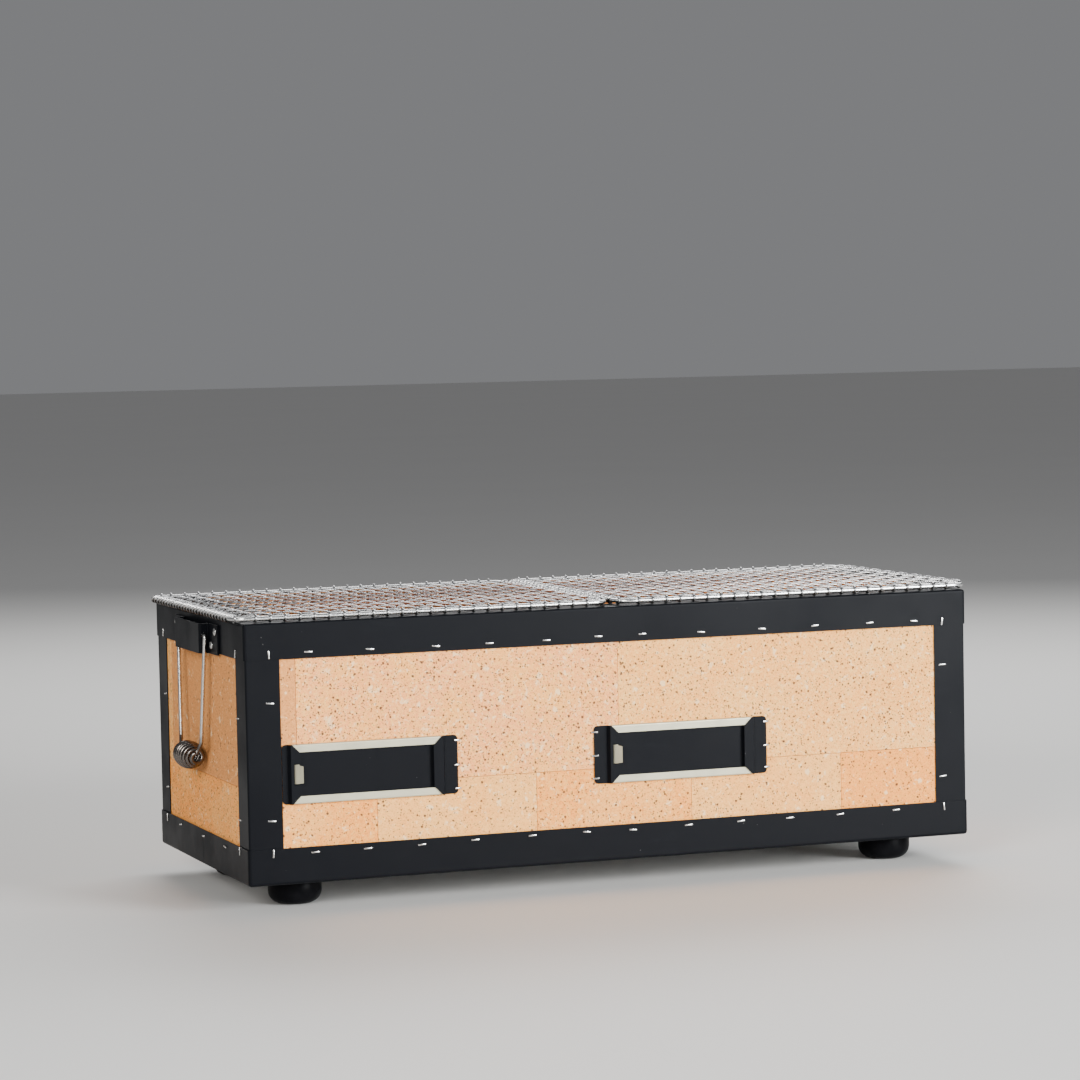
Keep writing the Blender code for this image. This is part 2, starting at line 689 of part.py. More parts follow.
def net(word, side):
    """A lift-off net: a stiff rim wire and, inside it, a lattice for the woven mesh."""
    past = NET_PAST_LEFT if side < 0 else NET_PAST_RIGHT
    centre = side * (HALF_L + past - NET_LENGTH / 2)
    where = (centre, CASE_Y, TOP + GAP + NET_WIRE + NET_RIM)
    half_l, half_w = NET_LENGTH / 2 - NET_RIM, NET_WIDTH / 2 - NET_RIM
    look = ("net", WIRE_STEEL)
    rim = round_corners(half_l, half_w, NET_CORNER)
    rim_wire = wire_curve(f"net_{word}_rim", rim, NET_RIM, look, where, cyclic=True)
    bm = bmesh.new()
    columns = math.ceil(NET_LENGTH / NET_PITCH) + 1
    rows = math.ceil(NET_WIDTH / NET_PITCH) + 1
    size = Matrix.Diagonal((columns * NET_PITCH / 2, rows * NET_PITCH / 2, 1, 1))
    bmesh.ops.create_grid(bm, x_segments=columns, y_segments=rows, size=1, matrix=size)
    cells = bm.faces[:]
    bmesh.ops.inset_individual(bm, faces=cells, thickness=NET_WIRE / 2)
    bmesh.ops.delete(bm, geom=cells, context="FACES")
    weave = place(f"net_{word}_mesh", bm, look, where)
    add_thickness(weave, NET_WIRE)
    attach(weave, rim_wire)
    inside = NET_RIM + GAP
    bm = bmesh.new()
    size = Matrix.Diagonal((2 * (half_l - inside), 2 * (half_w - inside), 4 * NET_WIRE, 1))
    bmesh.ops.create_cube(bm, size=1, matrix=size)
    upright = [e for e in bm.edges if abs(e.verts[0].co.z - e.verts[1].co.z) > NET_WIRE]
    bmesh.ops.bevel(
        bm, geom=upright, offset=NET_CORNER - inside, segments=3, profile=0.5, affect="EDGES"
    )
    trim = place(f"net_{word} outline", bm, None, where, "Cutters")
    boolean(weave, as_cutter(trim), "INTERSECT")


def main():
    start_scene()
    floor_bricks()
    wall_slabs()
    casing()
    feet()
    vents()
    handles()
    net("left", -1)
    net("right", 1)


main()
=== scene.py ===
"""Table-top hibachi grill: sawn brick, black paint, woven nets, wire handles, rivets,
feet and staples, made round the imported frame. One operator makes each kind of piece."""

import json
import math
import random

import bmesh
import bpy
from bpy.props import FloatProperty, FloatVectorProperty, IntProperty, PointerProperty
from mathutils import Matrix, Vector


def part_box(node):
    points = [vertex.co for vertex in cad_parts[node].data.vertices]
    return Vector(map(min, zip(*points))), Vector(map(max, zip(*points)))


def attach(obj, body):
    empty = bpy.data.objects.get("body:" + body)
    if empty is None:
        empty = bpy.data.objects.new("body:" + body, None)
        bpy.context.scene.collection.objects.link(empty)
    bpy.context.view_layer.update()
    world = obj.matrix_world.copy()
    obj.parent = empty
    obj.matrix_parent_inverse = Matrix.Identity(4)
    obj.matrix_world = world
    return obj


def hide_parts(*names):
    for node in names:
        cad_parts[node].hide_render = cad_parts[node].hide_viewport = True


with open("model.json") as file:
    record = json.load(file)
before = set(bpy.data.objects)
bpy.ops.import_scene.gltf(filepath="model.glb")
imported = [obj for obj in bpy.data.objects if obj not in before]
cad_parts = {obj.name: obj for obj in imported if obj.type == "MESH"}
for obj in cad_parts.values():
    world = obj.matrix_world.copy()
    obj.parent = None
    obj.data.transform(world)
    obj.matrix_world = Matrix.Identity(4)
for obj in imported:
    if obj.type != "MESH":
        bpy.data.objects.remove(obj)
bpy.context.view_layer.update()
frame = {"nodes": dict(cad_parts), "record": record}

bl_info = {
    "name": "Hibachi grill",
    "version": (1, 0, 0),
    "blender": (4, 5, 0),
    "location": "3D View > Sidebar > Hibachi",
    "description": "Builds the visible brick, paint, wire and staples of a table-top grill",
    "category": "Object",
}

MM = 0.001

# Where the frame's pieces are
CASE_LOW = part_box("bottom_band_front")[0]
CASE_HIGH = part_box("top_band_back")[1]
FLANGE_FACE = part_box("front_slab_left")[0].y - 0.9 * MM  # of the vents' stop plates
JOINTS = {joint["name"]: joint for joint in frame["record"]["behaviour"]["joints"]}

# Staples, in millimetres: along a side from its end, and up from the casing's underside
TOP_ROW = (43.7, 85.4, 131, 168.8, 208.5, 245.7, 277.7, 320.1, 365.8, 405.3, 446.5, 480.6)
BOTTOM_ROW = (45.3, 81.2, 118.2, 155.7, 196.4, 235.1, 268.4, 308.6, 347.8, 383.7, 421.5, 465.1)
ROW_HEIGHTS = (151.5, 20.5)
CORNER_PLACES, CORNER_HEIGHTS = (17, 501.5), (150.3, 21.2)
POST_HEIGHTS = (119.5, 42)
END_ROW, END_ROW_HEIGHT = (57, 112, 172), 20
END_CORNER_IN, END_CORNER_HEIGHTS = 20, (151, 21)
END_POST_HEIGHTS = (108, 42)
VENT_STAPLES, VENT_STAPLE_LENGTH = (15.7, -0.5, -15.7), 4.6  # up from the vent's middle

# Nets
NET_CORNER = 12 * MM  # radius of the rim's corners
NET_GAP = 0.02 * MM  # clearance over the casing
SPIRAL_SHORT = 1.4 * MM  # clearance between a spiral's last turn and the rim
SPIRAL_FADE = 25 * MM  # width of the band beside a rim where a spiral lies lower
# Below these heights the nets' steel is darkened: painted shade on the wires' undersides
RIM_SHINE, WEAVE_SHINE = 0.2 * MM, 1.15 * MM  # bright from here up, over the wires' middle
SPIRAL_STEPS, BINDING_STEPS = 28, 14  # points in one turn
WRAP_STEPS, WRAP_ANGLE = 15, math.radians(24)  # a wrap's points, and the turn between them

# Handles
HANDLE_WIRE = 1.35 * MM  # radius
BROWNED_BELOW = CASE_LOW.z + 82 * MM

# Lights: name, place, what it faces, size, colour
LIGHTS = (
    ("key", (-1.7, -2.0, 1.0), (0, 0, 0.1), (1.0, 0.8), (1, 0.98, 0.95)),
    ("fill", (1.5, -2.3, 0.7), (0, 0, 0.1), (1.2, 1.0), (0.95, 0.98, 1)),
    ("top", (0.8, 1.5, 1.4), (0, 0, 0.15), (2.2, 0.9), (1, 1, 1)),
)

# Camera: its place is measured from the casing's lower front left corner
LENS = 120.07
SEAT = CASE_LOW + Vector((-621.93, -2242.36, 361.98)) * MM
RIGHTWARD = Vector((0.93757, -0.34726, -0.01945))
UPWARD = Vector((0.03908, 0.04963, 0.99800))

# Brick looks: ground colour, second colour, pale flecks, dark pores
PINK, BEIGE, ORANGE, TAN, PALE = "pink", "beige", "orange", "tan", "pale"
BRICK_LOOKS = {
    "front_slab_left": (PINK, BEIGE, 1.0, 1.0),
    "front_slab_right": (BEIGE, PALE, 0.55, 0.8),
    "end_slab_left": (TAN, TAN, 0.2, 0.35),
    "end_slab_right": (TAN, ORANGE, 0.25, 0.35),
    "back_slab_left": (BEIGE, PALE, 0.7, 0.9),
    "back_slab_right": (PINK, BEIGE, 0.8, 0.9),
    "floor_brick_1": (ORANGE, BEIGE, 0.35, 0.6),
    "floor_brick_2": (PALE, BEIGE, 0.45, 0.6),
    "floor_brick_3": (ORANGE, BEIGE, 0.4, 0.7),
    "floor_brick_4": (PALE, BEIGE, 0.4, 0.6),
    "floor_brick_5": (ORANGE, ORANGE, 0.3, 0.5),
}


# --- Settings ----------------------------------------------------------------------


def colour_setting(name, description, default):
    return FloatVectorProperty(
        name=name, description=description, subtype="COLOR", size=3, min=0, max=1, default=default
    )


def length_setting(name, description, default):
    return FloatProperty(
        name=name, description=description, unit="LENGTH", precision=5, min=0.0001, default=default
    )


class HIBACHI_PG_bricks(bpy.types.PropertyGroup):
    """Colours and grain of the sawn brick."""

    pink: colour_setting("Pink", "Ground of the pinkish bricks", (1.0, 0.395, 0.125))
    beige: colour_setting("Beige", "Ground of the beige bricks", (1.0, 0.43, 0.100))
    orange: colour_setting("Orange", "Ground of the orange bricks", (1.0, 0.36, 0.058))
    tan: colour_setting("Tan", "Ground of the end slabs", (0.74, 0.30, 0.080))
    pale: colour_setting("Pale", "Ground of the palest bricks", (1.0, 0.48, 0.130))
    fleck: colour_setting("Flecks", "Pale flecks in the brick", (1.0, 0.72, 0.40))
    pore: colour_setting("Pores", "Dark pores in the brick", (0.055, 0.022, 0.012))
    fleck_size: length_setting("Fleck spacing", "Spacing of the pale flecks", 6.5 * MM)
    pore_size: length_setting("Pore spacing", "Spacing of the dark pores", 3.0 * MM)


class HIBACHI_PG_metal(bpy.types.PropertyGroup):
    """Paint and plating of the sheet metal."""

    paint: colour_setting("Paint", "Satin black paint", (0.0040, 0.0045, 0.0062))
    zinc: colour_setting("Rail plating", "Cream plating of the vent rails", (0.50, 0.47, 0.34))
    steel: colour_setting("Steel", "Bright steel", (0.66, 0.65, 0.63))
    rim: colour_setting("Rim steel", "Polished steel of the nets' rims", (0.90, 0.90, 0.89))
    weave: colour_setting("Weave steel", "Tinned steel of the weave", (0.70, 0.70, 0.705))
    heat_tint: colour_setting("Heat tint", "Browned steel of the coil grips", (0.070, 0.050, 0.038))
    rubber: colour_setting("Rubber", "Black rubber of the feet", (0.005, 0.005, 0.006))


class HIBACHI_PG_nets(bpy.types.PropertyGroup):
    """Wires of the cooking nets."""

    rim_radius: length_setting("Rim wire", "Radius of the rim wire", 1.5 * MM)
    weave_radius: length_setting("Weave wire", "Radius of the weave wire", 0.70 * MM)
    spirals: IntProperty(name="Spirals", description="Spirals across a net", min=4, default=26)
    turns: IntProperty(name="Turns", description="Turns along each spiral", min=4, default=10)
    binding_pitch: length_setting("Binding pitch", "Pitch of the coils on the side rims", 7.3 * MM)


class HIBACHI_PG_staples(bpy.types.PropertyGroup):
    """Crowns of the staples."""

    length: length_setting("Length", "Length of a crown", 5.6 * MM)
    width: length_setting("Width", "Width of a crown", 1.15 * MM)
    height: length_setting("Height", "How far a crown stands up", 0.75 * MM)
    seed: IntProperty(name="Seed", description="Picks how each staple sits", default=7)


class HIBACHI_PG_stage(bpy.types.PropertyGroup):
    """Floor and lights."""

    floor: colour_setting("Floor", "Colour of the floor", (0.72, 0.71, 0.69))
    sky: colour_setting("Surroundings", "Colour of the surroundings", (0.86, 0.87, 0.90))
    key_power: FloatProperty(name="Key light", description="Power of the key light", default=63)
    fill_power: FloatProperty(name="Fill light", description="Power of the fill light", default=146)
    top_power: FloatProperty(name="Top light", description="Power of the top light", default=40)
    sky_power: FloatProperty(name="Surround light", description="Surroundings' level", default=0.24)


# --- Materials ---------------------------------------------------------------------


class Finish:
    """A material under construction, with short calls for its nodes."""

    def __init__(self, name, colour, roughness, metallic=0.0):
        self.material = bpy.data.materials.new(name)
        self.material.use_nodes = True
        self.tree = self.material.node_tree
        self.shader = self.tree.nodes["Principled BSDF"]
        self.shader.inputs["Base Color"].default_value = (*colour, 1)
        self.shader.inputs["Roughness"].default_value = roughness
        self.shader.inputs["Metallic"].default_value = metallic
        self.here = self.add("ShaderNodeTexCoord").outputs["Object"]

    def add(self, kind, **settings):
        node = self.tree.nodes.new(kind)
        for key, value in settings.items():
            setattr(node, key, value)
        return node

    def put(self, socket, value):
        """Links value to the socket if it is an output, and sets it if it is a number."""
        if isinstance(value, bpy.types.NodeSocket):
            self.tree.links.new(value, socket)
        elif isinstance(value, (int, float)):
            socket.default_value = value
        else:
            socket.default_value = (*value, 1) if len(socket.default_value) == 4 else value

    def height(self):
        """The height of the place that is shaded."""
        node = self.add("ShaderNodeSeparateXYZ")
        self.put(node.inputs[0], self.here)
        return node.outputs[2]

    def moved(self, offset, scale=(1, 1, 1)):
        node = self.add("ShaderNodeMapping")
        self.put(node.inputs["Vector"], self.here)
        self.put(node.inputs["Location"], offset)
        self.put(node.inputs["Scale"], scale)
        return node.outputs["Vector"]

    def noise(self, where, size, detail=3.0, roughness=0.55, output="Fac"):
        node = self.add("ShaderNodeTexNoise")
        self.put(node.inputs["Vector"], where)
        self.put(node.inputs["Scale"], 1 / size)
        self.put(node.inputs["Detail"], detail)
        self.put(node.inputs["Roughness"], roughness)
        return node.outputs[output]

    def warped(self, where, size, amount):
        """The coordinates pushed about by up to amount."""
        node = self.add("ShaderNodeVectorMath", operation="MULTIPLY_ADD")
        self.put(node.inputs[0], self.noise(where, size, 2, 0.5, "Color"))
        self.put(node.inputs[1], (amount, amount, amount))
        self.put(node.inputs[2], where)
        return node.outputs["Vector"]

    def spots(self, where, size, edge, share):
        """1 inside round spots and 0 outside: edge is a spot's reach as a share of the
        spacing, and share is how many of the cells have one."""
        cells = self.add("ShaderNodeTexVoronoi")
        self.put(cells.inputs["Vector"], where)
        self.put(cells.inputs["Scale"], 1 / size)
        draw = self.add("ShaderNodeTexWhiteNoise")
        self.put(draw.inputs["Vector"], cells.outputs["Position"])
        split = self.add("ShaderNodeSeparateColor")
        self.put(split.inputs[0], draw.outputs["Color"])
        reach = self.maths("MULTIPLY", self.maths("ADD", split.outputs[1], 0.4), edge)
        spot = self.maths("SUBTRACT", reach, cells.outputs["Distance"])
        spot = self.ranged(spot, 0, edge * 0.35)
        chosen = self.maths("LESS_THAN", split.outputs[0], share)
        return self.maths("MULTIPLY", spot, chosen)

    def maths(self, operation, first, second):
        node = self.add("ShaderNodeMath", operation=operation)
        self.put(node.inputs[0], first)
        self.put(node.inputs[1], second)
        return node.outputs[0]

    def ranged(self, value, low, high, to_low=0.0, to_high=1.0):
        node = self.add("ShaderNodeMapRange", interpolation_type="SMOOTHSTEP")
        for socket, number in zip(node.inputs[:5], (value, low, high, to_low, to_high)):
            self.put(socket, number)
        return node.outputs[0]

    def blend(self, amount, first, second):
        node = self.add("ShaderNodeMix", data_type="RGBA")
        self.put(node.inputs[0], amount)
        self.put(node.inputs[6], first)
        self.put(node.inputs[7], second)
        return node.outputs[2]

    def colour(self, value):
        self.put(self.shader.inputs["Base Color"], value)

    def roughness(self, value):
        self.put(self.shader.inputs["Roughness"], value)

    def relief(self, height, distance, strength):
        node = self.add("ShaderNodeBump")
        self.put(node.inputs["Strength"], strength)
        self.put(node.inputs["Distance"], distance)
        self.put(node.inputs["Height"], height)
        self.put(self.shader.inputs["Normal"], node.outputs[0])


def brick_finish(name, look, seed, settings):
    """Sawn brick: mottled ground, fine grain, pale flecks and dark pores."""
    ground, second, flecks, pores = look
    ground, second = getattr(settings, ground), getattr(settings, second)
    made = Finish(f"brick_{name}", ground, 0.93)
    where = made.moved((seed * 0.37, seed * 0.53, seed * 0.71))
    bent = made.warped(where, 3.5 * MM, 4.5 * MM)
    cloud = made.noise(where, 38 * MM, 4, 0.6)
    colour = made.blend(made.ranged(cloud, 0.42, 0.62), ground, second)
    grain = made.noise(where, 1.1 * MM, 5, 0.8)
    dark = [c * share for c, share in zip(ground, (0.66, 0.50, 0.40))]
    colour = made.blend(made.ranged(grain, 0.47, 0.64, 0, 0.85), colour, dark)
    pale = [min(1.0, c * share) for c, share in zip(second, (1.1, 1.25, 1.45))]
    crumb = made.noise(bent, 2.2 * MM, 5, 0.75)
    colour = made.blend(made.ranged(crumb, 0.50, 0.60, 0, 0.45 + 0.4 * flecks), colour, pale)
    smear = made.noise(made.warped(where, 14 * MM, 16 * MM), 5.5 * MM, 6, 0.72)
    blotch = made.ranged(smear, 0.60 - 0.05 * flecks, 0.66)
    colour = made.blend(made.maths("MULTIPLY", blotch, 0.8), colour, settings.fleck)
    spot = made.spots(bent, settings.fleck_size, 0.27, 0.35 * flecks)
    colour = made.blend(made.maths("MULTIPLY", spot, 0.65), colour, settings.fleck)
    chip = made.spots(bent, settings.fleck_size * 0.35, 0.34, 0.5 * flecks)
    colour = made.blend(made.maths("MULTIPLY", chip, 0.45), colour, settings.fleck)
    near = made.warped(where, 0.9 * MM, 1.3 * MM)
    pore = made.spots(near, settings.pore_size, 0.24, 0.9 * pores)
    speck = made.spots(near, settings.pore_size * 0.5, 0.30, 0.8 * pores)
    holes = made.maths("MAXIMUM", pore, made.maths("MULTIPLY", speck, 0.9))
    colour = made.blend(made.maths("MULTIPLY", holes, 0.9), colour, settings.pore)
    made.colour(colour)
    made.roughness(made.ranged(grain, 0.3, 0.7, 0.86, 0.98))
    height = made.maths("SUBTRACT", made.maths("MULTIPLY", grain, 0.5), holes)
    made.relief(height, 0.35 * MM, 0.6)
    return made.material


def paint_finish(settings, name="satin_black_paint", level=1.0, gloss=0.40):
    """Satin black paint: slight orange peel, drifts of handling marks and fine dust."""
    paint = [c * level for c in settings.paint]
    made = Finish(name, paint, gloss)
    made.shader.inputs["Specular IOR Level"].default_value = 0.07
    where = made.moved((0.3, 0.1, 0.2))
    drift = made.noise(where, 60 * MM, 4, 0.6)
    rub = made.noise(made.moved((0, 0, 0), (0.25, 1, 1)), 7 * MM, 5, 0.7)
    scuff = made.maths("MULTIPLY", made.ranged(drift, 0.5, 0.75), made.ranged(rub, 0.5, 0.8))
    scuffed = [c * 2.2 + 0.006 for c in paint]
    colour = made.blend(made.maths("MULTIPLY", scuff, 0.6), paint, scuffed)
    dust = made.spots(where, 5.5 * MM, 0.05, 0.2)
    made.colour(made.blend(made.maths("MULTIPLY", dust, 0.35), colour, (0.3, 0.29, 0.28)))
    made.roughness(made.ranged(drift, 0.3, 0.7, gloss - 0.05, gloss + 0.09))
    made.relief(made.noise(where, 1.6 * MM, 2, 0.5), 0.06 * MM, 0.35)
    return made.material


def rail_finish(settings):
    """Cream plated sheet, drawn along its length, with faint marks."""
    made = Finish("cream_plating", settings.zinc, 0.38, 0.35)
    drawn = made.noise(made.moved((0, 0, 0), (0.05, 1, 1)), 0.8 * MM, 4, 0.6)
    cloud = made.noise(made.here, 22 * MM, 3)
    darker = [c * 0.78 for c in settings.zinc]
    colour = made.blend(made.ranged(cloud, 0.4, 0.7, 0, 0.7), settings.zinc, darker)
    made.colour(made.blend(made.ranged(drawn, 0.5, 0.8, 0, 0.35), colour, darker))
    made.roughness(made.ranged(drawn, 0.3, 0.7, 0.32, 0.48))
    made.relief(drawn, 0.03 * MM, 0.4)
    return made.material


def steel_finish(settings, name, browned_below=None, steel=None, painted_shade_below=None):
    """Drawn steel wire with fine scratches. On a handle it is browned by heat below a height;
    on a net, painted shade darkens the wires below a height."""
    steel = steel or settings.steel
    made = Finish(name, steel, 0.24, 1.0)
    cloud = made.noise(made.here, 9 * MM, 3)
    fine = made.noise(made.here, 0.7 * MM, 3, 0.7)
    dull = [c * 0.68 for c in steel]
    colour = made.blend(made.ranged(cloud, 0.4, 0.75, 0, 0.6), steel, dull)
    colour = made.blend(made.ranged(fine, 0.5, 0.8, 0, 0.5), colour, dull)
    if browned_below:
        hot = made.ranged(made.height(), browned_below, browned_below + 12 * MM, 0.85, 0)
        colour = made.blend(hot, colour, settings.heat_tint)
    # painted shade: below the given height the wire's colour is darkened, so the undersides of a
    # net's wires read dark
    if painted_shade_below:
        under = made.ranged(made.height(), painted_shade_below - 1.6 * MM, painted_shade_below, 0.9, 0)
        colour = made.blend(under, colour, [c * 0.22 for c in steel])
    made.colour(colour)
    made.roughness(made.ranged(fine, 0.3, 0.75, 0.16, 0.38))
    made.relief(fine, 0.02 * MM, 0.25)
    return made.material


def plate_finish(settings):
    """Plain zinced sheet with a soft spangle."""
    made = Finish("zinced_sheet", settings.steel, 0.45, 0.9)
    cells = made.add("ShaderNodeTexVoronoi")
    made.put(cells.inputs["Vector"], made.warped(made.here, 9 * MM, 6 * MM))
    made.put(cells.inputs["Scale"], 1 / (11 * MM))
    split = made.add("ShaderNodeSeparateColor")
    made.put(split.inputs[0], cells.outputs["Color"])
    darker = [c * 0.6 for c in settings.steel]
    made.colour(made.blend(split.outputs[0], [c * 0.8 for c in settings.steel], darker))
    made.roughness(made.ranged(split.outputs[1], 0, 1, 0.36, 0.55))
    made.relief(made.noise(made.here, 2 * MM, 3), 0.03 * MM, 0.3)
    return made.material


def rubber_finish(settings):
    """Moulded black rubber with a soft sheen and a little dust."""
    made = Finish("moulded_rubber", settings.rubber, 0.30)
    made.shader.inputs["Specular IOR Level"].default_value = 0.03
    cloud = made.noise(made.here, 14 * MM, 4)
    dusty = [c * 2 + 0.004 for c in settings.rubber]
    made.colour(made.blend(made.ranged(cloud, 0.45, 0.8, 0, 0.6), settings.rubber, dusty))
    made.roughness(made.ranged(cloud, 0.3, 0.7, 0.24, 0.42))
    made.relief(made.noise(made.here, 0.9 * MM, 3), 0.05 * MM, 0.4)
    return made.material


def give(material, *objects):
    """Puts the material in every slot of the objects."""
    for obj in objects:
        if obj.data.materials:
            for index in range(len(obj.data.materials)):
                obj.data.materials[index] = material
        else:
            obj.data.materials.append(material)


# --- Making pieces -----------------------------------------------------------------


def placed(name, mesh, material, body, replaced=()):
    """Links a finished mesh and tells the frame what it rides on and stands for."""
    mesh.name = name
    obj = bpy.data.objects.new(name, mesh)
    bpy.context.scene.collection.objects.link(obj)
    for polygon in mesh.polygons:
        polygon.use_smooth = True
    give(material, obj)
    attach(obj, body)
    if replaced:
        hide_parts(*replaced)
    return obj


def finished(bm):
    """The mesh of a bmesh, with its doubles merged and its faces turned outwards."""
    bmesh.ops.remove_doubles(bm, verts=bm.verts[:], dist=0.000001)
    bmesh.ops.recalc_face_normals(bm, faces=bm.faces[:])
    mesh = bpy.data.meshes.new("piece")
    bm.to_mesh(mesh)
    bm.free()
    return mesh


def wire_mesh(paths, radius, extra_sides, closed=False):
    """Round wires along the paths, as one mesh."""
    curve = bpy.data.curves.new("wire", "CURVE")
    curve.dimensions = "3D"
    curve.bevel_depth = radius
    curve.bevel_resolution = extra_sides
    curve.use_fill_caps = not closed
    for path in paths:
        spline = curve.splines.new("POLY")
        spline.points.add(len(path) - 1)
        for point, where in zip(spline.points, path):
            point.co = (*where, 1)
        spline.use_cyclic_u = closed
    maker = bpy.data.objects.new("wire_maker", curve)
    bpy.context.scene.collection.objects.link(maker)
    bpy.context.view_layer.update()
    evaluated = maker.evaluated_get(bpy.context.evaluated_depsgraph_get())
    raw = bpy.data.meshes.new_from_object(evaluated)
    bm = bmesh.new()
    bm.from_mesh(raw)
    bpy.data.objects.remove(maker)
    bpy.data.curves.remove(curve)
    bpy.data.meshes.remove(raw)
    return finished(bm)


def spun(bm, profile, where, steps, turn=None):
    """Adds a turned shape: the profile of (radius, height) spun about its own Z."""
    verts = [bm.verts.new((radius, 0, height)) for radius, height in profile]
    edges = [bm.edges.new(pair) for pair in zip(verts, verts[1:])]
    old = set(bm.verts) - set(verts)
    bmesh.ops.spin(
        bm,
        geom=verts + edges,
        cent=(0, 0, 0),
        axis=(0, 0, 1),
        dvec=(0, 0, 0),
        angle=2 * math.pi,
        steps=steps,
        use_merge=True,
    )
    new = [v for v in bm.verts if v not in old]
    bmesh.ops.remove_doubles(bm, verts=new, dist=0.000001)
    new = [v for v in bm.verts if v not in old]
    if turn:
        bmesh.ops.rotate(bm, verts=new, cent=(0, 0, 0), matrix=turn)
    bmesh.ops.translate(bm, verts=new, vec=where)


def rounded(points, radii, steps):
    """The path with each inner corner turned into a curve of its radius."""
    points = [Vector(p) for p in points]
    made = [points[0]]
    for before, corner, after, radius in zip(points, points[1:], points[2:], radii):
        into = (before - corner).normalized()
        out = (after - corner).normalized()
        reach = radius / math.tan(into.angle(out) / 2)
        reach = min(reach, (before - corner).length * 0.49, (after - corner).length * 0.49)
        start, end = corner + into * reach, corner + out * reach
        for i in range(steps + 1):
            t = i / steps
            made.append(start.lerp(corner, t).lerp(corner.lerp(end, t), t))
    made.append(points[-1])
    return made


# --- Bricks and sheet metal --------------------------------------------------------


class HIBACHI_OT_bricks(bpy.types.Operator):
    """Give each brick its own colour, flecks and pores"""

    bl_idname = "hibachi.bricks"
    bl_label = "Finish the bricks"

    def execute(self, context):
        settings = context.scene.hibachi_bricks
        for seed, (node, look) in enumerate(BRICK_LOOKS.items(), 1):
            give(brick_finish(node, look, seed, settings), frame["nodes"][node])
        return {"FINISHED"}


class HIBACHI_OT_sheet_metal(bpy.types.Operator):
    """Paint the casing, brackets and vents, and plate the rails and the bottom"""

    bl_idname = "hibachi.sheet_metal"
    bl_label = "Paint and plate the sheet metal"

    def execute(self, context):
        settings = context.scene.hibachi_metal
        casing = paint_finish(settings)
        vents = paint_finish(settings, "vent_black_paint", level=1.05, gloss=0.46)
        rails = rail_finish(settings)
        plate = plate_finish(settings)
        screws = steel_finish(settings, "screw_steel")
        for name, node in frame["nodes"].items():
            if "band" in name or "post" in name or "bracket" in name:
                give(casing, node)
            elif name.endswith(("_rail", "_tab")):
                give(rails, node)
            elif name.startswith("vent_"):
                give(vents, node)
            elif name == "bottom_plate":
                give(plate, node)
            elif name.startswith("foot_screw"):
                give(screws, node)
        return {"FINISHED"}


# --- Nets --------------------------------------------------------------------------


def rim_reach(x, half_x, half_y):
    """How far the rim's front or back wire is from the middle, at a place along the net."""
    past = abs(x) - (half_x - NET_CORNER)
    if past <= 0:
        return half_y
    return half_y - NET_CORNER + math.sqrt(max(0.0, NET_CORNER**2 - past**2))


def spiral_path(number, settings, half_x, half_y):
    """One flattened spiral from the front rim to the back rim, hooked to its neighbours.
    At a net's ends its hooks stop at the side rim. Its own ends are wrapped round the
    front and back rims."""
    pitch = 2 * half_x / settings.spirals
    middle = -half_x + (number + 0.5) * pitch
    thick = settings.weave_radius
    grip = settings.rim_radius + thick
    inner = half_y - grip - SPIRAL_SHORT
    stop = rim_reach(middle, half_x, half_y) - half_y + inner
    bend = pitch / 2 + 0.95 * thick
    rise = 2.1 * thick
    path = []
    count = settings.turns * SPIRAL_STEPS
    for i in range(count + 1):
        y = inner * (2 * i / count - 1)
        if abs(y) > stop + 0.001 * MM:
            continue
        angle = math.pi * (2 * settings.turns * i / count + number % 2 + 0.5)
        wave = math.asin(math.cos(angle)) * 2 / math.pi
        x = middle + bend * (0.55 * wave + 0.45 * math.cos(angle))
        x = max(grip - half_x, min(half_x - grip, x))
        height = rise * min(1.0, 0.35 + 0.65 * (stop - abs(y)) / SPIRAL_FADE)
        path.append(Vector((x, y, height * math.sin(angle))))
    for end, sign in ((0, -1), (-1, 1)):
        x = path[end].x
        rim_y = sign * rim_reach(x, half_x, half_y)
        wrap = []
        for step in range(WRAP_STEPS):
            turn = step * WRAP_ANGLE
            along = x + sign * thick * 0.9 * step / 7
            y = rim_y - sign * grip * math.cos(turn)
            wrap.append(Vector((along, y, grip * math.sin(turn))))
        path = wrap[::-1] + path if end == 0 else path + wrap
    return path


def binding_path(side, settings, half_x, half_y):
    """The coil that binds an end spiral's hooks to a side rim."""
    shift = 0.9 * settings.weave_radius
    grip = settings.rim_radius + settings.weave_radius
    reach = half_y - NET_CORNER
    turns = round(2 * reach / settings.binding_pitch)
    path = []
    count = turns * BINDING_STEPS
    for i in range(count + 1):
        angle = 2 * math.pi * i / BINDING_STEPS
        x = side * (half_x - shift) + (grip + shift) * math.cos(angle)
        path.append(Vector((x, reach * (2 * i / count - 1), grip * math.sin(angle))))
    return path


